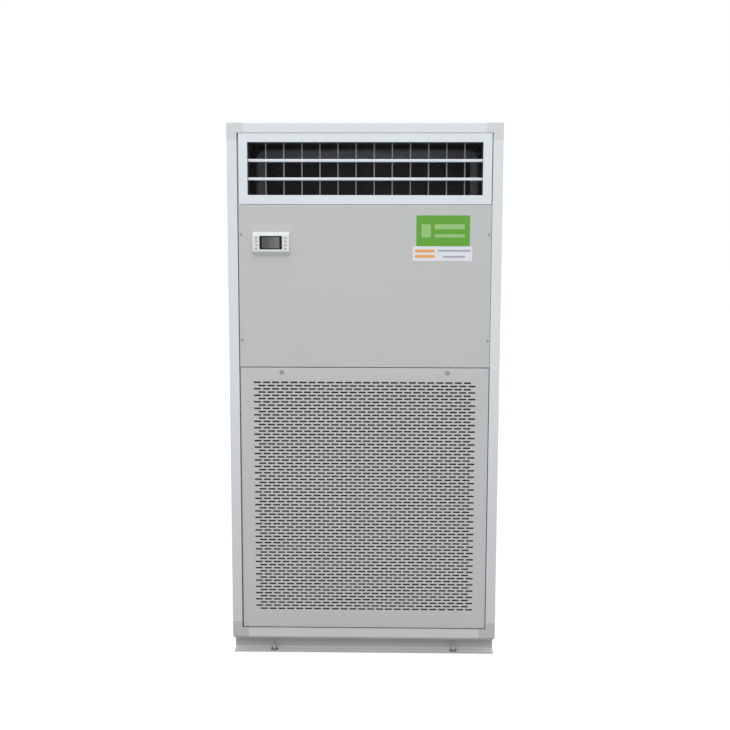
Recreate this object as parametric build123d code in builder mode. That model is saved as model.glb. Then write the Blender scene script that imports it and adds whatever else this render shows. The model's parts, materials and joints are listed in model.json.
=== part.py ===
"""Floor-standing indoor unit of a split air conditioner, in millimetres.

The unit stands on the floor at z = 0 with its front towards -Y and its width
along X. The origin is on the floor under the middle of the cabinet.
"""

import os

from build123d import *

# Cabinet
cabinet_width = 880.0
cabinet_depth = 650.0
cabinet_height = 1750.0

# Base frame of rolled channel
base_height = 54.0
base_inset = 4.0
channel_flange = 37.0
channel_web = 5.0
channel_flange_thickness = 4.5
channel_root_radius = 5.0
anchor_hole_radius = 7.0
anchor_setback = 13.0
anchor_spacing = 604.0

# Hollow frame profile with two fins that the panels land on
profile_size = 32.0
profile_wall = 2.0
profile_edge_radius = 3.0
fin_reach = 14.0
fin_thickness = 2.0

# Moulded three-way corners
corner_arm = 54.0
corner_plug_length = 26.0
corner_plug_clearance = 0.15

# Folded sheet panels
sheet = 1.5
fold_radius = 2.5
panel_depth = 20.0
panel_recess = 1.5
panel_gap = 3.0
control_gap = 1.5
front_joint = 2.0
intake_height = 878.0
front_shift = 1.0

# Supply grille
grille_height = 223.0
grille_gap = 1.0
grille_side_gap = 4.0
grille_border = 28.5
grille_pitch = 58.3
grille_wall = 2.0
grille_leg = 54.0
grille_edge_radius = 1.6
bar_height = 9.5
bar_depth = 14.0
bar_setback = 12.0
bar_drop = 2.0
vane_thickness = 4.0
vane_chord = 26.0

# Return air intake
slot_length = 93.5
slot_height = 21.5
slot_pitch = 113.5
slot_row_pitch = 43.5
slot_side_margin = 44.0
slot_bottom_margin = 62.0
slot_top_margin = 42.0
filter_setback = 6.0
fit_clearance = 0.3

# Rear service panel with rubber grommets for the pipes and the cable
service_panel_height = 300.0
pipe_bore_radius = 32.0
pipe_edge_distance = 155.0
cable_bore_radius = 11.0
cable_edge_distance = 70.0
entry_height = 130.0
grommet_wall = 5.0
grommet_lip = 7.0
grommet_lip_thickness = 1.5
grommet_clearance = 0.1

# Front crossbars and plenum
crossbar_depth = 20.0
crossbar_height = 30.0
crossbar_wall = 2.0
plenum_plate = 2.0
lining_thickness = 10.0

# Wall controller on the control panel
controller_width = 118.0
controller_height = 74.0
controller_depth = 16.0
controller_top_slope = 10.0
controller_bottom_slope = 11.0
controller_bevel = 1.2
controller_side_offset = 46.5
controller_top_offset = 87.5
screen_width = 72.5
screen_height = 43.0
screen_raise = 2.0
screen_pocket = 1.2
screen_clearance = 0.2
key_rows = 4
key_width = 7.0
key_height = 5.0
key_rise = 1.2
key_pitch = 11.5
key_offset = 46.5

# Captive fasteners of the intake panel
latch_radius = 6.5
latch_rise = 3.5
latch_slot_width = 1.8
latch_slot_depth = 1.5
latch_spacing = 540.0
latch_drop = 14.0

# Planes of the cabinet that follow from the sizes above
half_width = cabinet_width / 2
half_depth = cabinet_depth / 2
frame_height = cabinet_height - base_height
frame_middle = base_height + frame_height / 2
opening_inset = profile_size + panel_gap
front_width = cabinet_width - 2 * opening_inset
control_width = cabinet_width - 2 * (profile_size + control_gap)
grille_width = cabinet_width - 2 * (profile_size + grille_side_gap)
side_width = cabinet_depth - 2 * opening_inset
panel_bottom = base_height + opening_inset
panel_top = cabinet_height - opening_inset
panel_height = panel_top - panel_bottom
front_face = -half_depth + panel_recess
fin_setback = panel_recess + panel_depth
inner_front = -half_depth + fin_setback + fin_thickness
intake_top = panel_bottom + intake_height
grille_bottom = cabinet_height - profile_size - grille_gap - grille_height
control_bottom = intake_top + front_joint
control_top = grille_bottom - grille_gap

os.makedirs("parts", exist_ok=True)


def save(piece, label):
    """Name a finished piece and write it to its file."""
    piece.part.label = label
    export_step(piece.part, f"parts/{label}.step")


def channel(foot, inward, length):
    """Rolled channel on the floor whose open side faces away from inward."""
    with BuildPart() as rail:
        with BuildSketch(Plane(origin=foot, x_dir=inward, z_dir=inward.cross(Vector(0, 0, 1)))):
            Rectangle(channel_flange, base_height, align=Align.MIN)
            with Locations((0, channel_flange_thickness)):
                Rectangle(
                    channel_flange - channel_web,
                    base_height - 2 * channel_flange_thickness,
                    align=Align.MIN,
                    mode=Mode.SUBTRACT,
                )
        extrude(amount=length / 2, both=True)
        web_face = foot + inward * (channel_flange - channel_web)
        root_edges = (
            rail.edges()
            .filter_by(lambda edge: abs((edge.center() - web_face).dot(inward)) < channel_web / 4)
            .filter_by(lambda edge: edge.length > base_height)
        )
        fillet(root_edges, channel_root_radius)
    return rail


def frame_profile(middle, first, second, length):
    """Hollow profile on an outer edge, with first and second pointing into the two faces."""
    with BuildPart() as bar:
        with BuildSketch(Plane(origin=middle, x_dir=first, z_dir=first.cross(second))) as section:
            Rectangle(profile_size, profile_size, align=Align.MIN)
            fillet(section.vertices().sort_by_distance((0, 0))[0], profile_edge_radius)
            with Locations((profile_size, fin_setback)):
                Rectangle(fin_reach, fin_thickness, align=Align.MIN)
            with Locations((fin_setback, profile_size)):
                Rectangle(fin_thickness, fin_reach, align=Align.MIN)
            with Locations((profile_wall, profile_wall)):
                hollow = profile_size - 2 * profile_wall
                Rectangle(hollow, hollow, align=Align.MIN, mode=Mode.SUBTRACT)
        extrude(amount=length / 2, both=True)
    return bar


def corner_piece(corner, inward):
    """Moulded corner with three arms, a web between each two, and a plug into each profile."""
    along = [Vector(inward.X, 0, 0), Vector(0, inward.Y, 0), Vector(0, 0, inward.Z)]
    plug = profile_size - 2 * profile_wall - 2 * corner_plug_clearance
    with BuildPart() as piece:
        for index in range(len(along)):
            first = along[index]
            second = along[(index + 1) % 3]
            third = along[(index + 2) % 3]
            normal = first.cross(second)
            with BuildSketch(Plane(origin=corner, x_dir=first, z_dir=normal)):
                Rectangle(corner_arm, profile_size, align=Align.MIN)
                Rectangle(profile_size, corner_arm, align=Align.MIN)
            extrude(amount=profile_size * normal.dot(third))
            with BuildSketch(Plane(origin=corner + third * fin_setback, x_dir=first, z_dir=normal)):
                Rectangle(corner_arm, corner_arm, align=Align.MIN)
            extrude(amount=fin_thickness * normal.dot(third))
        fillet(piece.edges().sort_by_distance(corner)[:3], profile_edge_radius)
        for index in range(len(along)):
            arm = along[index]
            across = along[(index + 1) % 3] + along[(index + 2) % 3]
            plug_foot = corner + arm * corner_arm + across * (profile_size / 2)
            with BuildSketch(Plane(origin=plug_foot, z_dir=arm)):
                Rectangle(plug, plug)
            extrude(amount=corner_plug_length)
    return piece


def tray(face, width, height):
    """Folded sheet panel whose outer skin lies on the face plane."""
    outward = Axis(face.origin, face.z_dir)
    with BuildPart() as panel:
        with BuildSketch(face):
            Rectangle(width, height)
        extrude(amount=-panel_depth)
        fillet(panel.faces().sort_by(outward)[-1].edges(), fold_radius)
        offset(amount=-sheet, openings=panel.faces().sort_by(outward)[0])
    return panel


def front_plane(x, z, y=front_face):
    """Plane seen from the front, with its normal towards the viewer."""
    return Plane(origin=(x, y, z), x_dir=(1, 0, 0), z_dir=(0, -1, 0))


def rear_plane(x, z, y=half_depth - panel_recess):
    """Plane seen from behind, with its normal away from the cabinet."""
    return Plane(origin=(x, y, z), x_dir=(-1, 0, 0), z_dir=(0, 1, 0))


# Base frame
channel_back = half_depth - base_inset - channel_flange
front_foot = Vector(0, -half_depth + base_inset, 0)
side_foot = Vector(-half_width + base_inset, 0, 0)
base_length = cabinet_width - 2 * base_inset
anchor_row = half_depth - base_inset - anchor_setback
for name, foot, inward in (
    ("base_front", front_foot, Vector(0, 1, 0)),
    ("base_rear", front_foot * -1, Vector(0, -1, 0)),
):
    with BuildPart() as base_long:
        add(channel(foot, inward, base_length).part)
        with BuildSketch(Plane.XY):
            with Locations((0, -inward.Y * anchor_row)):
                with GridLocations(anchor_spacing, 0, 2, 1):
                    Circle(anchor_hole_radius)
        extrude(amount=channel_flange_thickness, mode=Mode.SUBTRACT)
    save(base_long, name)
save(channel(side_foot, Vector(1, 0, 0), 2 * channel_back), "base_left")
save(channel(side_foot * -1, Vector(-1, 0, 0), 2 * channel_back), "base_right")
save(channel(Vector(-channel_flange / 2, 0, 0), Vector(1, 0, 0), 2 * channel_back), "base_middle")

# Frame posts, rails and corners
sides = {"left": -1, "right": 1}
ends = {"front": -1, "rear": 1}
levels = {"bottom": base_height, "top": cabinet_height}
for end, end_sign in ends.items():
    for side, side_sign in sides.items():
        post_middle = Vector(side_sign * half_width, end_sign * half_depth, frame_middle)
        post = frame_profile(
            post_middle, Vector(-side_sign, 0, 0), Vector(0, -end_sign, 0), frame_height - 2 * corner_arm
        )
        save(post, f"post_{end}_{side}")
for level, level_height in levels.items():
    upward = Vector(0, 0, 1 if level == "bottom" else -1)
    for end, end_sign in ends.items():
        rail_middle = Vector(0, end_sign * half_depth, level_height)
        rail = frame_profile(rail_middle, Vector(0, -end_sign, 0), upward, cabinet_width - 2 * corner_arm)
        save(rail, f"{level}_rail_{end}")
    for side, side_sign in sides.items():
        rail_middle = Vector(side_sign * half_width, 0, level_height)
        rail = frame_profile(rail_middle, Vector(-side_sign, 0, 0), upward, cabinet_depth - 2 * corner_arm)
        save(rail, f"{level}_rail_{side}")
    for end, end_sign in ends.items():
        for side, side_sign in sides.items():
            corner = Vector(side_sign * half_width, end_sign * half_depth, level_height)
            inward = Vector(-side_sign, -end_sign, upward.Z)
            save(corner_piece(corner, inward), f"corner_{level}_{end}_{side}")

# Side, rear, top and floor panels
panel_middle = (panel_bottom + panel_top) / 2
for side, side_sign in sides.items():
    side_face = Plane(
        origin=(side_sign * (half_width - panel_recess), 0, panel_middle),
        x_dir=(0, 1, 0),
        z_dir=(side_sign, 0, 0),
    )
    save(tray(side_face, side_width, panel_height), f"side_panel_{side}")
service_top = panel_bottom + service_panel_height
rear_bottom = service_top + panel_gap
save(tray(rear_plane(0, (rear_bottom + panel_top) / 2), front_width, panel_top - rear_bottom), "rear_panel")
top_face = Plane.XY.offset(cabinet_height - panel_recess)
save(tray(top_face, front_width, side_width), "top_panel")
floor_face = Plane(origin=(0, 0, base_height + panel_recess), x_dir=(1, 0, 0), z_dir=(0, 0, -1))
save(tray(floor_face, front_width, side_width), "floor_panel")

# Rear service panel and its grommets
entry_z = panel_bottom + entry_height
entries = {
    "pipe_grommet": (front_width / 2 - pipe_edge_distance, pipe_bore_radius),
    "cable_grommet": (front_width / 2 - cable_edge_distance, cable_bore_radius),
}
with BuildPart() as rear_service_panel:
    add(tray(rear_plane(0, panel_bottom + service_panel_height / 2), front_width, service_panel_height).part)
    for entry_x, bore_radius in entries.values():
        with BuildSketch(rear_plane(entry_x, entry_z)):
            Circle(bore_radius + grommet_wall + grommet_clearance)
        extrude(amount=-2 * sheet, mode=Mode.SUBTRACT)
save(rear_service_panel, "rear_service_panel")
for name, (entry_x, bore_radius) in entries.items():
    with BuildPart() as grommet:
        with BuildSketch(rear_plane(entry_x, entry_z, half_depth - panel_recess + grommet_lip_thickness)):
            Circle(bore_radius + grommet_wall + grommet_lip)
        extrude(amount=-grommet_lip_thickness)
        with BuildSketch(rear_plane(entry_x, entry_z)):
            Circle(bore_radius + grommet_wall)
        extrude(amount=-sheet)
        with BuildSketch(rear_plane(entry_x, entry_z)):
            Circle(bore_radius)
        extrude(amount=grommet_lip_thickness + sheet, both=True, mode=Mode.SUBTRACT)
    save(grommet, name)

# Control panel
control_middle = (control_bottom + control_top) / 2
control_face = front_plane(front_shift, control_middle)
save(tray(control_face, control_width, control_top - control_bottom), "control_panel")

# Intake panel with staggered rows of slots
intake_middle = panel_bottom + intake_height / 2
field_width = front_width - 2 * slot_side_margin
field_height = intake_height - slot_bottom_margin - slot_top_margin
field_middle = panel_bottom + slot_bottom_margin + field_height / 2
slot_columns = int((field_width - slot_length - slot_pitch / 2) / slot_pitch) + 1
slot_row_pairs = int((field_height - slot_height - slot_row_pitch) / (2 * slot_row_pitch)) + 1
with BuildPart() as intake_panel:
    add(tray(front_plane(front_shift, intake_middle), front_width, intake_height).part)
    with BuildSketch(front_plane(front_shift, field_middle)):
        for stagger in (-1, 1):
            with Locations((stagger * slot_pitch / 4, stagger * slot_row_pitch / 2)):
                with GridLocations(slot_pitch, 2 * slot_row_pitch, slot_columns, slot_row_pairs):
                    Rectangle(slot_length, slot_height)
    extrude(amount=-2 * sheet, mode=Mode.SUBTRACT)
save(intake_panel, "intake_panel")

# Air filter held between the folds of the intake panel
filter_depth = panel_depth - filter_setback
with BuildPart() as air_filter:
    with BuildSketch(front_plane(front_shift, intake_middle, front_face + filter_setback)):
        fold_room = 2 * (sheet + fit_clearance)
        Rectangle(front_width - fold_room, intake_height - fold_room)
    extrude(amount=-filter_depth)
save(air_filter, "air_filter")

# Crossbars behind the joints of the front panels
crossbar_length = cabinet_width - 2 * (profile_size + fit_clearance)
joint_heights = {
    "crossbar_lower": intake_top + front_joint / 2,
    "crossbar_upper": grille_bottom - grille_gap / 2,
}
for name, joint_height in joint_heights.items():
    with BuildPart() as crossbar:
        with BuildSketch(Plane.YZ):
            with Locations((inner_front + crossbar_depth / 2, joint_height)):
                Rectangle(crossbar_depth, crossbar_height)
                Rectangle(
                    crossbar_depth - 2 * crossbar_wall,
                    crossbar_height - 2 * crossbar_wall,
                    mode=Mode.SUBTRACT,
                )
        extrude(amount=crossbar_length / 2, both=True)
    save(crossbar, name)

# Plate that closes the supply plenum from below
plenum_bottom = joint_heights["crossbar_upper"] + crossbar_height / 2
plenum_floor_top = plenum_bottom + plenum_plate
with BuildPart() as plenum_floor:
    with BuildSketch(Plane.XY.offset(plenum_bottom)):
        Rectangle(crossbar_length, -2 * inner_front - 2 * fit_clearance)
    extrude(amount=plenum_plate)
save(plenum_floor, "plenum_floor")

# Foam lining in the folds of the rear, side and top panels
skin_inset = panel_recess + sheet
fold_inset = max(fold_radius, sheet) + fit_clearance
lining_bottom = plenum_floor_top + fit_clearance
lining_top = panel_top - fold_inset
lining_middle = (lining_bottom + lining_top) / 2
lining_height = lining_top - lining_bottom
lining_width = front_width - 2 * fold_inset
lining_depth = side_width - 2 * fold_inset
with BuildPart() as plenum_lining:
    with BuildSketch(Plane.XZ.offset(skin_inset - half_depth)):
        with Locations((0, lining_middle)):
            Rectangle(lining_width, lining_height)
    extrude(amount=lining_thickness)
    for side_sign in sides.values():
        with BuildSketch(Plane.YZ.offset(side_sign * (half_width - skin_inset))):
            with Locations((0, lining_middle)):
                Rectangle(lining_depth, lining_height)
        extrude(amount=-side_sign * lining_thickness)
    with BuildSketch(Plane.XY.offset(cabinet_height - skin_inset)):
        Rectangle(lining_width, lining_depth)
    extrude(amount=-lining_thickness)
save(plenum_lining, "plenum_lining")

# Mitred frame of the supply grille
grille_middle = grille_bottom + grille_height / 2
opening_width = grille_width - 2 * grille_border
opening_height = grille_height - 2 * grille_border


def grille_member(across, reach, length):
    """One side of the grille frame: a face with a leg at each edge, mitred at both ends."""
    centre = Vector(front_shift, front_face, grille_middle)
    along = across.cross(Vector(0, 1, 0))
    with BuildPart() as member:
        with BuildSketch(Plane(origin=centre - across * reach, x_dir=across, z_dir=along)) as section:
            Rectangle(grille_border, grille_wall, align=Align.MIN)
            Rectangle(grille_wall, panel_depth, align=Align.MIN)
            with Locations((grille_border - grille_wall, 0)):
                Rectangle(grille_wall, grille_leg, align=Align.MIN)
            fillet(section.vertices().sort_by_distance((grille_border, 0))[0], grille_edge_radius)
        extrude(amount=length / 2, both=True)
        for end_sign in (-1, 1):
            mitre_corner = centre - across * reach + along * (end_sign * length / 2)
            mitre_normal = along * -end_sign - across
            split(bisect_by=Plane(origin=mitre_corner, z_dir=mitre_normal), keep=Keep.TOP)
    return member


save(grille_member(Vector(0, 0, -1), grille_height / 2, grille_width), "grille_frame_top")
save(grille_member(Vector(0, 0, 1), grille_height / 2, grille_width), "grille_frame_bottom")
save(grille_member(Vector(1, 0, 0), grille_width / 2, grille_height), "grille_frame_left")
save(grille_member(Vector(-1, 0, 0), grille_width / 2, grille_height), "grille_frame_right")

# Horizontal bars with rounded fronts, across the opening
bar_front = front_face + bar_setback
bar_count = int(opening_height / grille_pitch)
with BuildPart() as grille_bars:
    with BuildSketch(Plane.YZ.offset(front_shift)):
        with Locations((bar_front, grille_middle - bar_drop)):
            with GridLocations(0, grille_pitch, 1, bar_count):
                with Locations((bar_depth / 2, 0)):
                    RectangleRounded(bar_depth, bar_height, bar_height / 2 - grille_wall)
    extrude(amount=opening_width / 2, both=True)
save(grille_bars, "grille_bars")

# Upright vanes behind the bars, lens shaped in plan
vane_front = bar_front + bar_depth
vane_count = int(opening_width / grille_pitch)
with BuildSketch() as vane_section:
    with BuildLine():
        ThreePointArc((0, 0), (vane_thickness / 2, vane_chord / 2), (0, vane_chord))
        ThreePointArc((0, vane_chord), (-vane_thickness / 2, vane_chord / 2), (0, 0))
    make_face()
with BuildPart() as grille_vanes:
    with BuildSketch(Plane(origin=(front_shift, vane_front, grille_middle))):
        with GridLocations(grille_pitch, 0, vane_count, 1):
            add(vane_section.sketch)
    extrude(amount=opening_height / 2, both=True)
save(grille_vanes, "grille_vanes")

# Controller with sloping top and bottom
controller_x = front_shift - control_width / 2 + controller_side_offset + controller_width / 2
controller_z = control_top - controller_top_offset - controller_height / 2
controller_front = front_face - controller_depth
face_bottom = controller_z - controller_height / 2 + controller_bottom_slope
face_top = controller_z + controller_height / 2 - controller_top_slope
face_middle = (face_bottom + face_top) / 2
screen_middle = face_middle + screen_raise
with BuildPart() as controller_case:
    with BuildSketch(Plane.YZ.offset(controller_x)):
        with BuildLine():
            Polyline(
                (front_face, controller_z - controller_height / 2),
                (controller_front, face_bottom),
                (controller_front, face_top),
                (front_face, controller_z + controller_height / 2),
                close=True,
            )
        make_face()
    extrude(amount=controller_width / 2, both=True)
    back = controller_case.faces().sort_by(Axis.Y)[-1]
    chamfer(controller_case.edges() - back.edges(), controller_bevel)
    with BuildSketch(front_plane(controller_x, screen_middle, controller_front)):
        Rectangle(screen_width, screen_height)
    extrude(amount=-screen_pocket, mode=Mode.SUBTRACT)
save(controller_case, "controller_case")
with BuildPart() as controller_screen:
    with BuildSketch(front_plane(controller_x, screen_middle, controller_front + screen_pocket)):
        Rectangle(screen_width - 2 * screen_clearance, screen_height - 2 * screen_clearance)
    extrude(amount=screen_pocket - screen_clearance)
save(controller_screen, "controller_screen")
with BuildPart() as controller_keys:
    with BuildSketch(front_plane(controller_x, face_middle, controller_front)):
        with GridLocations(2 * key_offset, key_pitch, 2, key_rows):
            Rectangle(key_width, key_height)
    extrude(amount=key_rise)
save(controller_keys, "controller_keys")

# Captive fasteners with a coin slot
with BuildPart() as panel_latches:
    latch_face = front_plane(front_shift, intake_top - latch_drop)
    with BuildSketch(latch_face):
        with GridLocations(latch_spacing, 0, 2, 1):
            Circle(latch_radius)
    extrude(amount=latch_rise)
    with BuildSketch(latch_face.offset(latch_rise)):
        with GridLocations(latch_spacing, 0, 2, 1):
            Rectangle(2 * latch_radius, latch_slot_width)
    extrude(amount=-latch_slot_depth, mode=Mode.SUBTRACT)
save(panel_latches, "panel_latches")
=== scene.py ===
"""Looks of the floor-standing indoor unit, in metres, in the frame of its solids.

The front faces -Y. Sizes of the pieces that are added here stand at the top of
their sections, and every piece sits on the solid that carries it.
"""

import json
import math
from typing import NamedTuple

import bmesh
import bpy
from mathutils import Euler, Matrix, Vector


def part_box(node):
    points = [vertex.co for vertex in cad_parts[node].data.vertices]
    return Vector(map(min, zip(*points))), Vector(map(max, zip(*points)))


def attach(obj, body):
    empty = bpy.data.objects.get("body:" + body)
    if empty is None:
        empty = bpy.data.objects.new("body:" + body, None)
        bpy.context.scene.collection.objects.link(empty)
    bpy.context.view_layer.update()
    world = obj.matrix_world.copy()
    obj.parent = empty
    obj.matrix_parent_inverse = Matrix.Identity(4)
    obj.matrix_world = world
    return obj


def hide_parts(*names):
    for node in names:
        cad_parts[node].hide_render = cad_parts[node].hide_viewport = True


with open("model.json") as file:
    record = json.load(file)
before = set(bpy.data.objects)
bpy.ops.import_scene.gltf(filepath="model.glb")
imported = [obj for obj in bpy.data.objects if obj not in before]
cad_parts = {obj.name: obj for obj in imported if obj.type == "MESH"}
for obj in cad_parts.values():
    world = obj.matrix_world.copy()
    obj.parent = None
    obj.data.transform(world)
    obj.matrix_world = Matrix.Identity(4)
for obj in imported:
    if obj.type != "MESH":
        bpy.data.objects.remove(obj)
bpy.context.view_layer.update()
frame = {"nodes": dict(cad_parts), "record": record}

BODY = "root"
MILLIMETRES = 1000
MICRONS = 1000000
X_AXIS, Y_AXIS, Z_AXIS = 0, 1, 2
FRONT = Vector((0, -1, 0))
REAR = Vector((0, 1, 0))
LEFT = Vector((-1, 0, 0))
RIGHT = Vector((1, 0, 0))
UP = Vector((0, 0, 1))
WHITE = (1.0, 1.0, 1.0, 1.0)

# Building blocks of materials
SHADER = "Principled BSDF"
TONE_START = 0.3
TONE_END = 0.7


def srgb(red, green, blue):
    """Linear colour of a screen colour given from 0 to 255."""
    linear = []
    for value in (red, green, blue):
        share = value / 255
        linear.append(share / 12.92 if share <= 0.04045 else ((share + 0.055) / 1.055) ** 2.4)
    return (*linear, 1.0)


def scaled(colour, factor):
    """A colour made lighter or darker by one factor."""
    return (*[min(1.0, channel * factor) for channel in colour[:3]], 1.0)


def new_material(name, roughness, metallic=0.0, specular=0.5):
    """A material with its constant values set on the shader, and its node tree."""
    made = bpy.data.materials.new(name)
    made.use_nodes = True
    shader = made.node_tree.nodes[SHADER]
    shader.inputs["Roughness"].default_value = roughness
    shader.inputs["Metallic"].default_value = metallic
    shader.inputs["Specular IOR Level"].default_value = specular
    return made, made.node_tree


def feed(tree, value, entry):
    """Set an input to a number, or link a socket to it."""
    if isinstance(value, float):
        entry.default_value = value
    else:
        tree.links.new(value, entry)


def computed(tree, operation, *values):
    """Socket with the result of one math operation on sockets and numbers."""
    node = tree.nodes.new("ShaderNodeMath")
    node.operation = operation
    for value, entry in zip(values, node.inputs):
        feed(tree, value, entry)
    return node.outputs["Value"]


def graded(tree, value, low, high, start=0.0, end=1.0):
    """Socket that runs from low to high while a value runs from start to end, and no further."""
    node = tree.nodes.new("ShaderNodeMapRange")
    feed(tree, value, node.inputs["Value"])
    feed(tree, start, node.inputs["From Min"])
    feed(tree, end, node.inputs["From Max"])
    feed(tree, low, node.inputs["To Min"])
    feed(tree, high, node.inputs["To Max"])
    return node.outputs["Result"]


def component(tree, vector, axis):
    """Socket with one component of a vector socket."""
    split = tree.nodes.new("ShaderNodeSeparateXYZ")
    tree.links.new(vector, split.inputs["Vector"])
    return split.outputs[axis]


def coordinate(tree, axis):
    """Socket with one of the unit's own coordinates, in metres."""
    place = tree.nodes.new("ShaderNodeTexCoord")
    return component(tree, place.outputs["Object"], axis)


def inside(tree, axis, reach):
    """Socket that is 1 where a coordinate is nearer to zero than a reach, and 0 beyond it."""
    distance = computed(tree, "ABSOLUTE", coordinate(tree, axis))
    return computed(tree, "LESS_THAN", distance, reach)


def texture(tree, kind, scale, stretch=(1, 1, 1)):
    """A procedural texture laid out in the unit's own metres."""
    place = tree.nodes.new("ShaderNodeTexCoord")
    mapping = tree.nodes.new("ShaderNodeMapping")
    mapping.inputs["Scale"].default_value = stretch
    made = tree.nodes.new(kind)
    made.inputs["Scale"].default_value = scale
    tree.links.new(place.outputs["Object"], mapping.inputs["Vector"])
    tree.links.new(mapping.outputs["Vector"], made.inputs["Vector"])
    return made


def tone(tree, pattern, dark, light):
    """Base colour that runs between two colours with a pattern."""
    ramp = tree.nodes.new("ShaderNodeValToRGB")
    ramp.color_ramp.elements[0].position = TONE_START
    ramp.color_ramp.elements[1].position = TONE_END
    ramp.color_ramp.elements[0].color = dark
    ramp.color_ramp.elements[1].color = light
    tree.links.new(pattern, ramp.inputs["Fac"])
    tree.links.new(ramp.outputs["Color"], tree.nodes[SHADER].inputs["Base Color"])


def relief(tree, pattern, height, strength):
    """Fine surface relief of a given height from a pattern."""
    bump = tree.nodes.new("ShaderNodeBump")
    bump.inputs["Distance"].default_value = height
    bump.inputs["Strength"].default_value = strength
    tree.links.new(pattern, bump.inputs["Height"])
    tree.links.new(bump.outputs["Normal"], tree.nodes[SHADER].inputs["Normal"])


def multiplied(tree, factor):
    """Multiply the base colour by the colour or number of a socket."""
    entry = tree.nodes[SHADER].inputs["Base Color"]
    plain = entry.links[0].from_socket
    product = tree.nodes.new("ShaderNodeVectorMath")
    product.operation = "MULTIPLY"
    tree.links.new(plain, product.inputs[0])
    tree.links.new(factor, product.inputs[1])
    tree.links.new(product.outputs["Vector"], entry)


# Coats of paint, plastic, rubber and zinc
class Coat(NamedTuple):
    """Colour and gloss, grains per metre and their height, and the share by which the tone changes."""

    colour: tuple
    roughness: float
    grain: float
    height: float
    spread: float
    metallic: float = 0.0


PANEL_PAINT = Coat(srgb(194, 197, 196), roughness=0.55, grain=900.0, height=0.00012, spread=0.012)
FRAME_PAINT = Coat(srgb(222, 227, 231), roughness=0.42, grain=12.0, height=0.00004, spread=0.012)
CORNER_PLASTIC = Coat(srgb(212, 216, 218), roughness=0.6, grain=1400.0, height=0.0001, spread=0.015)
BASE_PAINT = Coat(srgb(178, 180, 181), roughness=0.5, grain=260.0, height=0.0001, spread=0.04)
GRILLE_PAINT = Coat(srgb(224, 232, 237), roughness=0.4, grain=300.0, height=0.00003, spread=0.01)
VANE_PAINT = Coat(srgb(212, 209, 210), roughness=0.45, grain=300.0, height=0.00003, spread=0.015)
CASE_PLASTIC = Coat(srgb(224, 228, 229), roughness=0.45, grain=1600.0, height=0.00003, spread=0.01)
KEY_RUBBER = Coat(srgb(168, 172, 176), roughness=0.7, grain=2200.0, height=0.00003, spread=0.03)
LATCH_METAL = Coat(srgb(160, 163, 164), roughness=0.5, grain=1200.0, height=0.00004, spread=0.04)
GROMMET_RUBBER = Coat(srgb(34, 34, 36), roughness=0.75, grain=900.0, height=0.00006, spread=0.1)
CLOUD_SCALE = 3.0
GRAIN_STRENGTH = 0.5
DRAWN_LINES = 60.0
# Painted shade: the frame and corners are darkened towards the floor, where less light falls
FRAME_LOW_SHADE = (0.83, 0.80, 0.79, 1.0)
CORNER_LOW_SHADE = (0.75, 0.725, 0.715, 1.0)
LOW_SHADE_BOTTOM = 0.1
LOW_SHADE_TOP = 0.95
# Painted light: faces of the base that look up are made paler, as if lit from overhead
PAINTED_TOP_LIGHT = 1.32
THROAT_REACH = 0.39
THROAT_START = 0.002
THROAT_FULL = 0.006
THROAT_SHADE = 0.14
# The side rails are darker on their inner faces, within these reaches
INNER_DARK_REACH = 0.419
INNER_DARK_TOP = 1.73
INNER_DARK_FACTOR = 0.2


def coated(name, coat, stretch=(1, 1, 1)):
    """Material of a coat, with a soft change of tone and a fine grain."""
    made, tree = new_material(name, coat.roughness, coat.metallic)
    cloud = texture(tree, "ShaderNodeTexNoise", CLOUD_SCALE)
    dark = scaled(coat.colour, 1 - coat.spread)
    light = scaled(coat.colour, 1 + coat.spread)
    tone(tree, cloud.outputs["Fac"], dark, light)
    fine = texture(tree, "ShaderNodeTexNoise", coat.grain, stretch)
    relief(tree, fine.outputs["Fac"], coat.height, GRAIN_STRENGTH)
    return made


def painted_low_shade(made, shade_colour):
    """A material that is multiplied by a darker colour near the floor, which fades upward: painted shade
    where less light reaches the lower part.
    """
    tree = made.node_tree
    fade = tree.nodes.new("ShaderNodeValToRGB")
    fade.color_ramp.elements[0].color = shade_colour
    fade.color_ramp.elements[1].color = WHITE
    height = graded(tree, coordinate(tree, "Z"), 0.0, 1.0, LOW_SHADE_BOTTOM, LOW_SHADE_TOP)
    tree.links.new(height, fade.inputs["Fac"])
    multiplied(tree, fade.outputs["Color"])
    return made


def drawn_profile(name, along):
    """Frame profile with faint drawing lines along its length, and painted shade towards the floor."""
    stretch = [DRAWN_LINES] * 3
    stretch[along] = 1.0
    return painted_low_shade(coated(name, FRAME_PAINT, stretch), FRAME_LOW_SHADE)


def side_rail_profile(name):
    """Frame profile of the side rails, dark on the side that faces the inside of the cabinet."""
    made = drawn_profile(name, Y_AXIS)
    tree = made.node_tree
    inner_side = computed(tree, "MULTIPLY", inside(tree, "X", INNER_DARK_REACH), inside(tree, "Z", INNER_DARK_TOP))
    multiplied(tree, graded(tree, inner_side, 1.0, INNER_DARK_FACTOR))
    return made


def base_paint(name):
    """Painted steel of the base, with painted light on faces that look up, which are made paler."""
    made = coated(name, BASE_PAINT)
    tree = made.node_tree
    surface = tree.nodes.new("ShaderNodeNewGeometry")
    upward = component(tree, surface.outputs["Normal"], "Z")
    # Painted light from overhead on the faces that look up
    multiplied(tree, graded(tree, upward, 1.0, PAINTED_TOP_LIGHT))
    return made


def grille_frame_paint(name):
    """Paint of the grille frame, on its face and outer edges; the throat inside the opening is dark."""
    made = coated(name, GRILLE_PAINT)
    tree = made.node_tree
    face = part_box("grille_frame_top")[0].y
    behind = graded(tree, coordinate(tree, "Y"), 0.0, 1.0, face + THROAT_START, face + THROAT_FULL)
    throat = computed(tree, "MULTIPLY", inside(tree, "X", THROAT_REACH), behind)
    multiplied(tree, graded(tree, throat, 1.0, THROAT_SHADE))
    return made


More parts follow.
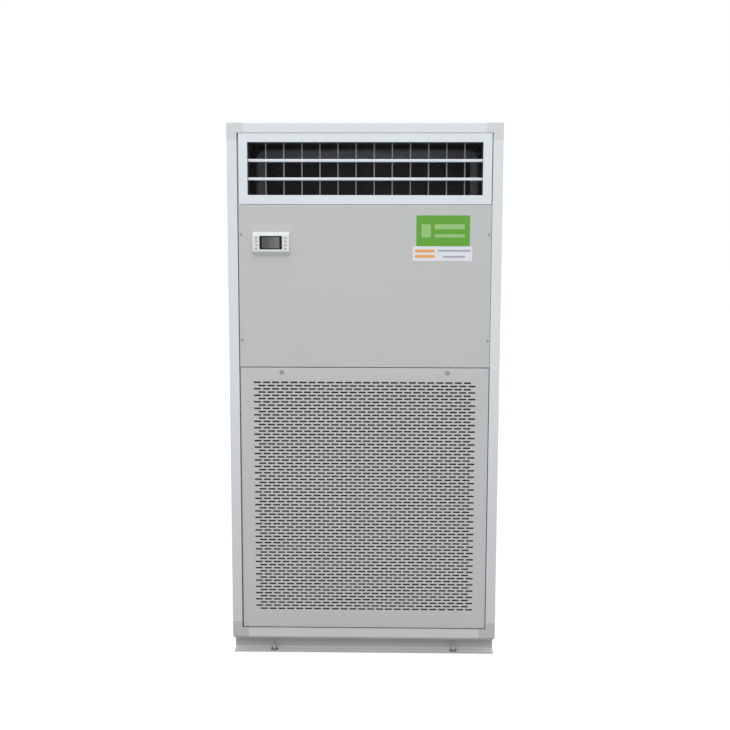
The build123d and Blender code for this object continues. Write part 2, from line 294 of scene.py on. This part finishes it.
# Other materials
SPANGLE_SCALE = 90.0
SPANGLE_DARK = srgb(190, 193, 196)
SPANGLE_LIGHT = srgb(222, 225, 228)
FOAM_SCALE = 420.0
FOAM_DARK = srgb(108, 106, 107)
FOAM_LIGHT = srgb(146, 143, 144)
THREAD_SCALE = 160.0
THREAD_DARK = srgb(66, 67, 69)
THREAD_LIGHT = srgb(122, 124, 127)
GLASS_CLOUD_SCALE = 18.0
GLASS_DARK = srgb(20, 22, 24)
GLASS_LIGHT = srgb(30, 32, 34)
FILM_LEFT = srgb(80, 84, 82)
FILM_RIGHT = srgb(112, 116, 112)


def galvanised(name):
    """Zinc-coated sheet with its spangle."""
    made, tree = new_material(name, roughness=0.42, metallic=0.9)
    spangle = texture(tree, "ShaderNodeTexVoronoi", SPANGLE_SCALE)
    tone(tree, spangle.outputs["Color"], SPANGLE_DARK, SPANGLE_LIGHT)
    relief(tree, spangle.outputs["Distance"], height=0.00005, strength=0.3)
    return made


def open_foam(name):
    """Dark grey foam with open cells."""
    made, tree = new_material(name, roughness=0.95, specular=0.1)
    cells = texture(tree, "ShaderNodeTexVoronoi", FOAM_SCALE)
    tone(tree, cells.outputs["Distance"], FOAM_DARK, FOAM_LIGHT)
    relief(tree, cells.outputs["Distance"], height=0.0012, strength=0.9)
    return made


def filter_cloth(name):
    """Dark woven filter cloth."""
    made, tree = new_material(name, roughness=0.9, specular=0.2)
    threads = []
    for direction in ("X", "Z"):
        wave = texture(tree, "ShaderNodeTexWave", THREAD_SCALE)
        wave.bands_direction = direction
        threads.append(wave.outputs["Fac"])
    weave = computed(tree, "MULTIPLY", *threads)
    tone(tree, weave, THREAD_DARK, THREAD_LIGHT)
    relief(tree, weave, height=0.0004, strength=0.7)
    return made


def screen_glass(name):
    """Glossy dark display cover with a faint cloudy tone."""
    made, tree = new_material(name, roughness=0.15, specular=0.2)
    cloud = texture(tree, "ShaderNodeTexNoise", GLASS_CLOUD_SCALE)
    tone(tree, cloud.outputs["Fac"], GLASS_DARK, GLASS_LIGHT)
    return made


def display_film(name):
    """Grey display that is paler towards its right-hand edge."""
    made, tree = new_material(name, roughness=0.3, specular=0.3)
    lowest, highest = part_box("controller_screen")
    across = graded(tree, coordinate(tree, "X"), 0.0, 1.0, lowest.x, highest.x)
    tone(tree, across, FILM_LEFT, FILM_RIGHT)
    return made


# Finish of every solid, by how its name starts
CROSS_RAILS = ("top_rail_front", "top_rail_rear", "bottom_rail_front", "bottom_rail_rear")
SIDE_RAILS = ("top_rail_left", "top_rail_right", "bottom_rail_left", "bottom_rail_right")
PANELS = ("side_panel", "rear_", "top_panel", "floor_panel", "control_panel", "intake_panel")
panel_paint = coated("panel_paint", PANEL_PAINT)
finishes = {
    "post_": drawn_profile("frame_profile_z", Z_AXIS),
    CROSS_RAILS: drawn_profile("frame_profile_x", X_AXIS),
    SIDE_RAILS: side_rail_profile("frame_profile_y"),
    # Corner pieces carry painted shade towards the floor
    "corner_": painted_low_shade(coated("corner_plastic", CORNER_PLASTIC), CORNER_LOW_SHADE),
    "base_": base_paint("base_steel"),
    PANELS: panel_paint,
    "air_filter": filter_cloth("filter_media"),
    ("crossbar_", "plenum_floor"): galvanised("bare_steel"),
    "plenum_lining": open_foam("foam"),
    "grille_frame": grille_frame_paint("grille_frame_paint"),
    "grille_bars": coated("grille_paint", GRILLE_PAINT),
    "grille_vanes": coated("vane_metal", VANE_PAINT),
    "controller_case": coated("controller_plastic", CASE_PLASTIC),
    "controller_screen": screen_glass("screen"),
    "controller_keys": coated("key_rubber", KEY_RUBBER),
    "panel_latches": coated("latch_metal", LATCH_METAL),
    ("pipe_", "cable_"): coated("grommet_rubber", GROMMET_RUBBER),
}
for node, solid in frame["nodes"].items():
    finish = next(made for start, made in finishes.items() if node.startswith(start))
    solid.data.materials.clear()
    solid.data.materials.append(finish)

# Making of mesh pieces
SHARP_ANGLE = math.radians(32)
CORNER_STEPS = 6


def add_piece(name, mesh, material):
    """Turn a finished edit mesh into a piece that rides on the unit."""
    bmesh.ops.recalc_face_normals(mesh, faces=mesh.faces)
    for face in mesh.faces:
        face.smooth = True
    for edge in mesh.edges:
        edge.smooth = len(edge.link_faces) == 2 and edge.calc_face_angle() < SHARP_ANGLE
    data = bpy.data.meshes.new(name)
    mesh.to_mesh(data)
    mesh.free()
    data.materials.append(material)
    piece = bpy.data.objects.new(name, data)
    bpy.context.scene.collection.objects.link(piece)
    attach(piece, BODY)
    return piece


def facing(origin, outward):
    """Frame on an upright face, with its local Z outward and its local Y upward."""
    across = UP.cross(outward)
    turn = Matrix((across, UP, outward)).transposed().to_4x4()
    return Matrix.Translation(origin) @ turn


def ring_points(radius, steps):
    """Evenly spaced points on a circle, anticlockwise."""
    angles = [2 * math.pi * step / steps for step in range(steps)]
    return [(radius * math.cos(angle), radius * math.sin(angle)) for angle in angles]


def loop_points(mesh, place, points, height):
    """New vertices of a closed outline at one height above a face."""
    return [mesh.verts.new(place @ Vector((x, y, height))) for x, y in points]


def wall(mesh, first, second):
    """Faces that join two closed outlines of the same length."""
    for index in range(len(first)):
        following = (index + 1) % len(first)
        mesh.faces.new((first[index], first[following], second[following], second[index]))


def rounded_outline(width, height, radius):
    """Outline of a rectangle with round corners, anticlockwise."""
    points = []
    for quarter, (side_x, side_y) in enumerate(((1, 1), (-1, 1), (-1, -1), (1, -1))):
        centre_x = side_x * (width / 2 - radius)
        centre_y = side_y * (height / 2 - radius)
        for step in range(CORNER_STEPS + 1):
            angle = math.radians(90) * (quarter + step / CORNER_STEPS)
            points.append((centre_x + radius * math.cos(angle), centre_y + radius * math.sin(angle)))
    return points


def inset_outline(points, inset, width, height):
    """An outline drawn in towards its middle by about one distance on every side."""
    return [(x * (1 - 2 * inset / width), y * (1 - 2 * inset / height)) for x, y in points]


def plate(mesh, place, width, height, radius, bottom, thickness, edge=0.0):
    """Thin plate with round corners, its front edge eased by a small bevel."""
    outline = rounded_outline(width, height, radius)
    foot = loop_points(mesh, place, outline, bottom)
    shoulder = loop_points(mesh, place, outline, bottom + thickness - edge)
    wall(mesh, foot, shoulder)
    top = shoulder
    if edge:
        top = loop_points(mesh, place, inset_outline(outline, edge, width, height), bottom + thickness)
        wall(mesh, shoulder, top)
    mesh.faces.new(top)
    mesh.faces.new(reversed(foot))


def lathe(mesh, place, profile, steps):
    """Closed turned form from a profile of radius and height, which starts and ends on the axis."""
    rings = []
    for radius, height in profile:
        points = ring_points(radius, steps) if radius else [(0, 0)]
        rings.append(loop_points(mesh, place, points, height))
    for lower, upper in zip(rings, rings[1:]):
        if len(lower) == len(upper):
            wall(mesh, lower, upper)
            continue
        tip, ring = (lower[0], upper) if len(lower) == 1 else (upper[0], lower)
        for index in range(steps):
            mesh.faces.new((tip, ring[index], ring[(index + 1) % steps]))


# Intake sheet with its full field of slots
SHEET = 0.0015
FOLD_RADIUS = 0.0025
FOLD_STEPS = 4
SLOT_LENGTH = 0.0245
SLOT_HEIGHT = 0.0055
SLOT_PITCH = 0.0298
ROW_PITCH = 0.010775
SLOT_COLUMNS = 24
SLOT_ROWS = 72
FIRST_ROW = 0.0645
SLOT_STEPS = 5
FIELD_MARGIN = 0.004


def slot_half(side):
    """Half of a slot's outline from its top middle round one end to its bottom middle."""
    radius = SLOT_HEIGHT / 2
    centre = side * (SLOT_LENGTH / 2 - radius)
    round_end = []
    for step in range(SLOT_STEPS + 1):
        angle = math.pi * (0.5 - step / SLOT_STEPS)
        round_end.append((centre + side * radius * math.cos(angle), radius * math.sin(angle)))
    return [(0, radius), *round_end, (0, -radius)]


def slotted_skin(mesh, origin, height, depth, half_flat):
    """Faces of one skin of the sheet, at a depth; gives its slot outlines and its four corners."""
    known = {}

    def corner(x, z):
        key = (round(x * MICRONS), round(z * MICRONS))
        if key not in known:
            known[key] = mesh.verts.new(origin + Vector((x, depth, z)))
        return known[key]

    def face(points):
        mesh.faces.new([corner(x, z) for x, z in points])

    half_pitch = SLOT_PITCH / 2
    line_count = 2 * SLOT_COLUMNS + 2
    lines = [(index - (line_count - 1) / 2) * half_pitch for index in range(line_count)]
    levels = [FIRST_ROW + (row - 0.5) * ROW_PITCH for row in range(SLOT_ROWS + 1)]
    reach = lines[-1] + FIELD_MARGIN
    bottom, top = FOLD_RADIUS, height - FOLD_RADIUS
    outlines = []
    for row in range(SLOT_ROWS):
        low, high = levels[row], levels[row + 1]
        middle = (low + high) / 2
        first = 1 - row % 2
        for column in range(SLOT_COLUMNS):
            centre = lines[first + 2 * column + 1]
            outline = []
            for side in (-1, 1):
                edge = centre + side * half_pitch
                rim = [(centre + x, middle + z) for x, z in slot_half(side)]
                face([(centre, low), (edge, low), (edge, high), (centre, high), *rim])
                outline += rim[:-1] if side == -1 else rim[:0:-1]
            outlines.append([corner(x, z) for x, z in outline])
        last = first + 2 * SLOT_COLUMNS
        for edge, ends in ((-reach, lines[: first + 1]), (reach, lines[last:][::-1])):
            lower = [(x, low) for x in ends]
            upper = [(x, high) for x in ends[::-1]]
            face([(edge, low), *lower, *upper, (edge, high)])
    field_width = [-reach, *lines, reach]
    for level, edge in ((levels[0], bottom), (levels[-1], top)):
        face([(-half_flat, edge), (half_flat, edge), *[(x, level) for x in field_width[::-1]]])
    for side in (-1, 1):
        edge = side * half_flat
        face([(edge, bottom), (edge, top), *[(side * reach, z) for z in levels[::-1]]])
    corners = [(-half_flat, bottom), (half_flat, bottom), (half_flat, top), (-half_flat, top)]
    return outlines, [corner(x, z) for x, z in corners]


def fold_arc(radius):
    """Quarter round of one skin of the fold, as insets from the panel's edge and depths."""
    points = []
    for step in range(FOLD_STEPS + 1):
        angle = math.radians(90) * step / FOLD_STEPS
        points.append((FOLD_RADIUS - radius * math.sin(angle), FOLD_RADIUS - radius * math.cos(angle)))
    return points


def intake_sheet():
    """Folded intake panel with every slot cut through its sheet."""
    lowest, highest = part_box("intake_panel")
    origin = Vector(((lowest.x + highest.x) / 2, lowest.y, lowest.z))
    width, depth, height = highest - lowest
    half_flat = width / 2 - FOLD_RADIUS
    mesh = bmesh.new()
    front_slots, front_ring = slotted_skin(mesh, origin, height, 0.0, half_flat)
    inner_slots, inner_ring = slotted_skin(mesh, origin, height, SHEET, half_flat)
    for front, inner in zip(front_slots, inner_slots):
        wall(mesh, front, inner)
    outer_fold = fold_arc(FOLD_RADIUS)
    inner_fold = fold_arc(FOLD_RADIUS - SHEET)
    section = [*outer_fold[1:], (0.0, depth), (SHEET, depth), *inner_fold[:0:-1]]
    ring = front_ring
    for inset, back in section:
        side = width / 2 - inset
        corners = ((-side, inset), (side, inset), (side, height - inset), (-side, height - inset))
        following = [mesh.verts.new(origin + Vector((x, back, z))) for x, z in corners]
        wall(mesh, ring, following)
        ring = following
    wall(mesh, ring, inner_ring)
    sheet = add_piece("intake_sheet", mesh, panel_paint)
    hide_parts("intake_panel")


intake_sheet()

# Floor bolts on the lower flange of the base
FLANGE_TOP = 0.0045
STUD_RADIUS = 0.005
STUD_TOP = 0.019
STUD_STEPS = 24
THREAD_PITCH = 0.0015
THREAD_DEPTH = 0.0007
WASHER_RADIUS = 0.0125
WASHER_THICKNESS = 0.002
WASHER_STEPS = 32
NUT_FLATS = 0.016
NUT_HEIGHT = 0.004
NUT_BEVEL = 0.001
STUD_ZINC = Coat(srgb(182, 184, 183), roughness=0.4, grain=700.0, height=0.00004, spread=0.06, metallic=0.4)
NUT_STEEL = Coat(srgb(132, 134, 134), roughness=0.5, grain=700.0, height=0.00004, spread=0.06, metallic=0.3)


def hexagon(flats):
    """Outline of a hexagon by its width across the flats."""
    return ring_points(flats / math.sqrt(3), 6)


def floor_nut(mesh, foot):
    """Thin nut on a round washer."""
    place = Matrix.Translation(foot)
    washer = [(0, 0), (WASHER_RADIUS, 0), (WASHER_RADIUS, WASHER_THICKNESS), (0, WASHER_THICKNESS)]
    lathe(mesh, place, washer, WASHER_STEPS)
    nut_top = WASHER_THICKNESS + NUT_HEIGHT
    rings = [
        loop_points(mesh, place, hexagon(NUT_FLATS - NUT_BEVEL), WASHER_THICKNESS),
        loop_points(mesh, place, hexagon(NUT_FLATS), WASHER_THICKNESS + NUT_BEVEL / 2),
        loop_points(mesh, place, hexagon(NUT_FLATS), nut_top - NUT_BEVEL),
        loop_points(mesh, place, hexagon(NUT_FLATS - 2 * NUT_BEVEL), nut_top),
    ]
    for lower, upper in zip(rings, rings[1:]):
        wall(mesh, lower, upper)
    mesh.faces.new(rings[-1])
    mesh.faces.new(rings[0][::-1])


def floor_stud(mesh, foot):
    """Threaded end that stands out of the nut."""
    level = WASHER_THICKNESS + NUT_HEIGHT
    outline = [(0, level), (STUD_RADIUS, level)]
    for turn in range(int((STUD_TOP - level) / THREAD_PITCH)):
        root = level + (turn + 0.5) * THREAD_PITCH
        outline += [(STUD_RADIUS - THREAD_DEPTH, root), (STUD_RADIUS, root + THREAD_PITCH / 2)]
    outline += [(STUD_RADIUS - THREAD_DEPTH, STUD_TOP), (0, STUD_TOP)]
    lathe(mesh, Matrix.Translation(foot), outline, STUD_STEPS)


def anchor_points():
    """Places of the floor bolts, from the bolt pattern in the record."""
    pattern = next(mount for mount in frame["record"]["mounts"] if mount["name"] == "anchor_holes")
    reach_x = pattern["dims"]["spacing_x_mm"] / MILLIMETRES / 2
    reach_y = pattern["dims"]["spacing_y_mm"] / MILLIMETRES / 2
    return [Vector((x, y, FLANGE_TOP)) for x in (-reach_x, reach_x) for y in (-reach_y, reach_y)]


studs = bmesh.new()
nuts = bmesh.new()
for foot in anchor_points():
    floor_stud(studs, foot)
    floor_nut(nuts, foot)
add_piece("floor_studs", studs, coated("stud_zinc", STUD_ZINC))
add_piece("floor_nuts", nuts, coated("nut_steel", NUT_STEEL))

# Panel screws with a cross recess
SCREW_RADIUS = 0.0045
SCREW_HEIGHT = 0.0014
SCREW_BEVEL = 0.0007
SCREW_STEPS = 24
SCREW_INSET = 0.0085
CROSS_REACH = 0.0024
CROSS_HALF = 0.0006
CROSS_DEPTH = 0.0008
SCREW_STEEL = Coat(
    srgb(160, 162, 164), roughness=0.45, grain=900.0, height=0.00003, spread=0.06, metallic=0.3
)
CONTROL_SCREW_ROWS = (0.088, 0.4295)
SIDE_SCREW_ROWS = (0.12, 0.59, 1.06, 1.51)
REAR_SCREW_ROWS = (0.1, 0.66, 1.22)
SERVICE_SCREW_ROWS = (0.06, 0.24)
SCREWED_PANELS = (
    ("control_panel", FRONT, CONTROL_SCREW_ROWS, X_AXIS),
    ("side_panel_left", LEFT, SIDE_SCREW_ROWS, Y_AXIS),
    ("side_panel_right", RIGHT, SIDE_SCREW_ROWS, Y_AXIS),
    ("rear_panel", REAR, REAR_SCREW_ROWS, X_AXIS),
    ("rear_service_panel", REAR, SERVICE_SCREW_ROWS, X_AXIS),
)


def panel_screw(mesh, place):
    """Low round head with a cross recess, in the plane of a panel."""
    head = ring_points(SCREW_RADIUS, SCREW_STEPS)
    foot = loop_points(mesh, place, head, 0)
    shoulder = loop_points(mesh, place, head, SCREW_HEIGHT - SCREW_BEVEL)
    top = loop_points(mesh, place, ring_points(SCREW_RADIUS - SCREW_BEVEL, SCREW_STEPS), SCREW_HEIGHT)
    wall(mesh, foot, shoulder)
    wall(mesh, shoulder, top)
    mesh.faces.new(foot[::-1])
    arm = [
        (CROSS_REACH, 0),
        (CROSS_REACH, CROSS_HALF),
        (CROSS_HALF, CROSS_HALF),
        (CROSS_HALF, CROSS_REACH),
    ]
    cross = []
    for cosine, sine in ((1, 0), (0, 1), (-1, 0), (0, -1)):
        cross += [(x * cosine - y * sine, x * sine + y * cosine) for x, y in arm]
    rim = loop_points(mesh, place, cross, SCREW_HEIGHT)
    recess_floor = loop_points(mesh, place, cross, SCREW_HEIGHT - CROSS_DEPTH)
    wall(mesh, rim, recess_floor)
    mesh.faces.new(recess_floor)
    quarter = SCREW_STEPS // 4
    for turn in range(4):
        arc = [top[(turn * quarter + step) % len(top)] for step in range(quarter + 1)]
        recess = [rim[(turn * len(arm) + step) % len(rim)] for step in range(len(arm) + 1)]
        mesh.faces.new(arc + recess[::-1])


def screw_places(node, outward, rows, across):
    """Screw places near the two upright edges of a panel, at heights above its lower edge."""
    lowest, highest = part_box(node)
    half = (highest - lowest) / 2
    face = (lowest + highest) / 2 + half * outward
    places = []
    for side in (-1, 1):
        for height in rows:
            spot = face.copy()
            spot[across] += side * (half[across] - SCREW_INSET)
            spot.z = lowest.z + height
            places.append(facing(spot, outward))
    return places


screws = bmesh.new()
for node, outward, rows, across in SCREWED_PANELS:
    for place in screw_places(node, outward, rows, across):
        panel_screw(screws, place)
add_piece("panel_screws", screws, coated("screw_steel", SCREW_STEEL))

# Bare plates on the control panel, with plain blocks given by their middle and size
PLATE_LEFT = 0.1662
PLATE_RIGHT = 0.3376
PLATE_BOTTOM = 1.361
PLATE_TOP = 1.459
STRIP_LEFT = 0.155
STRIP_RIGHT = 0.346
STRIP_BOTTOM = 1.314
STRIP_TOP = 1.3605
PLATE_THICKNESS = 0.0004
PLATE_RADIUS = 0.002
PLATE_EDGE = 0.0001
BLOCK_THICKNESS = 0.0001
BLOCK_RADIUS = 0.002
FIELD_BLOCKS = (
    ((-0.0545, 0.0), (0.030, 0.042)),
    ((0.021, 0.013), (0.096, 0.016)),
    ((0.021, -0.016), (0.096, 0.010)),
)
MARK_BLOCKS = (
    ((-0.057, 0.0085), (0.064, 0.0095)),
    ((-0.057, -0.0085), (0.064, 0.0095)),
)
RULE_BLOCKS = (
    ((0.0373, 0.0095), (0.106, 0.006)),
    ((0.0373, -0.0099), (0.072, 0.006)),
)
PLATE_GREEN = Coat(srgb(92, 162, 42), roughness=0.45, grain=500.0, height=0.00002, spread=0.02)
PLATE_WHITE = Coat(srgb(226, 229, 236), roughness=0.45, grain=500.0, height=0.00002, spread=0.01)
BLOCK_PALE = Coat(srgb(150, 196, 122), roughness=0.5, grain=500.0, height=0.00002, spread=0.02)
BLOCK_ORANGE = Coat(srgb(236, 166, 102), roughness=0.5, grain=500.0, height=0.00002, spread=0.02)
BLOCK_GREY = Coat(srgb(168, 170, 178), roughness=0.5, grain=500.0, height=0.00002, spread=0.02)


def bare_plate(name, material, left, right, bottom, top):
    """Plate on the control panel; gives the frame in its middle."""
    panel_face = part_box("control_panel")[0].y
    place = facing(Vector(((left + right) / 2, panel_face, (bottom + top) / 2)), FRONT)
    mesh = bmesh.new()
    plate(mesh, place, right - left, top - bottom, PLATE_RADIUS, 0, PLATE_THICKNESS, PLATE_EDGE)
    add_piece(name, mesh, material)
    return place


def plain_blocks(name, material, place, blocks):
    """Thin plain blocks on a plate, placed from the plate's middle."""
    mesh = bmesh.new()
    for middle, (width, height) in blocks:
        shifted = place @ Matrix.Translation((*middle, 0))
        plate(mesh, shifted, width, height, BLOCK_RADIUS, PLATE_THICKNESS, BLOCK_THICKNESS)
    add_piece(name, mesh, material)


def bare_plates():
    """Green plate over a white strip, with plain blocks on both."""
    green = coated("plate_green", PLATE_GREEN)
    white = coated("plate_white", PLATE_WHITE)
    on_plate = bare_plate("label_plate", green, PLATE_LEFT, PLATE_RIGHT, PLATE_BOTTOM, PLATE_TOP)
    plain_blocks("label_fields", coated("block_pale", BLOCK_PALE), on_plate, FIELD_BLOCKS)
    on_strip = bare_plate("label_strip", white, STRIP_LEFT, STRIP_RIGHT, STRIP_BOTTOM, STRIP_TOP)
    plain_blocks("label_strip_mark", coated("block_orange", BLOCK_ORANGE), on_strip, MARK_BLOCKS)
    plain_blocks("label_strip_rules", coated("block_grey", BLOCK_GREY), on_strip, RULE_BLOCKS)


bare_plates()

# Controller display
DISPLAY_WIDTH = 0.056
DISPLAY_HEIGHT = 0.0355
DISPLAY_RADIUS = 0.001
DISPLAY_THICKNESS = 0.00018


def controller_display():
    """Grey display area inside the dark surround of the screen."""
    lowest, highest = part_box("controller_screen")
    middle = (lowest + highest) / 2
    place = facing(Vector((middle.x, lowest.y, middle.z)), FRONT)
    mesh = bmesh.new()
    plate(mesh, place, DISPLAY_WIDTH, DISPLAY_HEIGHT, DISPLAY_RADIUS, 0, DISPLAY_THICKNESS)
    add_piece("controller_display", mesh, display_film("display_film"))


controller_display()

# Camera at the photograph's place
IMAGE_PIXELS = 730
FOCAL_PIXELS = 942.8
SENSOR_WIDTH = 36.0
CAMERA_PLACE = Vector((0.0517, -3.375, 1.3158))
CAMERA_TURN = math.radians(0.923)
CAMERA_DIP = math.radians(6.338)
CAMERA_ROLL = math.radians(0.1327)
lens = bpy.data.cameras.new("camera")
lens.sensor_width = SENSOR_WIDTH
lens.lens = SENSOR_WIDTH * FOCAL_PIXELS / IMAGE_PIXELS
camera = bpy.data.objects.new("camera", lens)
aim = Euler((math.radians(90) - CAMERA_DIP, 0, CAMERA_TURN)).to_matrix()
roll = Matrix.Rotation(CAMERA_ROLL, 3, "Z")
camera.matrix_world = Matrix.Translation(CAMERA_PLACE) @ (aim @ roll).to_4x4()
bpy.context.scene.collection.objects.link(camera)
bpy.context.scene.camera = camera

# Pale floor that keeps a soft shadow
FLOOR_HALF = 20.0
FLOOR_BOUNCE = 0.36
FLOOR_SHADED = 0.86
FLOOR_SHADOW_DEPTH = 0.22


def by_sight(tree, unseen, seen):
    """Socket with one value for soft light, and another for what the camera, a reflection or glass shows."""
    path = tree.nodes.new("ShaderNodeLightPath")
    sight = path.outputs["Is Camera Ray"]
    for ray in ("Is Glossy Ray", "Is Transmission Ray"):
        sight = computed(tree, "MAXIMUM", sight, path.outputs[ray])
    return graded(tree, sight, unseen, seen)


def floor():
    """Level floor: nearly plain white to the eye, grey to the light that it returns."""
    made = bpy.data.materials.new("floor")
    made.use_nodes = True
    tree = made.node_tree
    tree.nodes.clear()
    output = tree.nodes.new("ShaderNodeOutputMaterial")
    matte = tree.nodes.new("ShaderNodeBsdfDiffuse")
    glow = tree.nodes.new("ShaderNodeEmission")
    both = tree.nodes.new("ShaderNodeAddShader")
    tree.links.new(by_sight(tree, FLOOR_BOUNCE, FLOOR_SHADOW_DEPTH), matte.inputs["Color"])
    tree.links.new(by_sight(tree, 0.0, FLOOR_SHADED), glow.inputs["Strength"])
    tree.links.new(matte.outputs["BSDF"], both.inputs[0])
    tree.links.new(glow.outputs["Emission"], both.inputs[1])
    tree.links.new(both.outputs["Shader"], output.inputs["Surface"])
    mesh = bmesh.new()
    corners = ((-1, -1), (1, -1), (1, 1), (-1, 1))
    mesh.faces.new([mesh.verts.new((x * FLOOR_HALF, y * FLOOR_HALF, 0)) for x, y in corners])
    data = bpy.data.meshes.new("floor")
    mesh.to_mesh(data)
    mesh.free()
    data.materials.append(made)
    ground = bpy.data.objects.new("floor", data)
    bpy.context.scene.collection.objects.link(ground)


floor()

# Soft studio light
SKY_HORIZON = 0.66
SKY_OVERHEAD = 1.18
SKY_SEEN = 1.0
KEY_PLACE = Vector((-0.2, -4.3, 4.6))
KEY_TARGET = Vector((0, -0.3, 1.0))
KEY_SIZE = 2.6
KEY_POWER = 90.0


def sky():
    """White surroundings that light the unit softly from all round, most of all from overhead."""
    world = bpy.data.worlds.new("studio")
    world.use_nodes = True
    tree = world.node_tree
    background = tree.nodes["Background"]
    background.inputs["Color"].default_value = WHITE
    place = tree.nodes.new("ShaderNodeTexCoord")
    upward = component(tree, place.outputs["Generated"], "Z")
    level = graded(tree, upward, SKY_HORIZON, SKY_OVERHEAD)
    tree.links.new(by_sight(tree, level, SKY_SEEN), background.inputs["Strength"])
    bpy.context.scene.world = world


def key_light():
    """Large square lamp, high in front of the unit."""
    lamp = bpy.data.lights.new("key_light", "AREA")
    lamp.shape = "SQUARE"
    lamp.size = KEY_SIZE
    lamp.energy = KEY_POWER
    key = bpy.data.objects.new("key_light", lamp)
    key.location = KEY_PLACE
    key.rotation_mode = "QUATERNION"
    key.rotation_quaternion = (KEY_TARGET - KEY_PLACE).to_track_quat("-Z", "Y")
    bpy.context.scene.collection.objects.link(key)


sky()
key_light()
bpy.context.scene.view_settings.view_transform = "Standard"
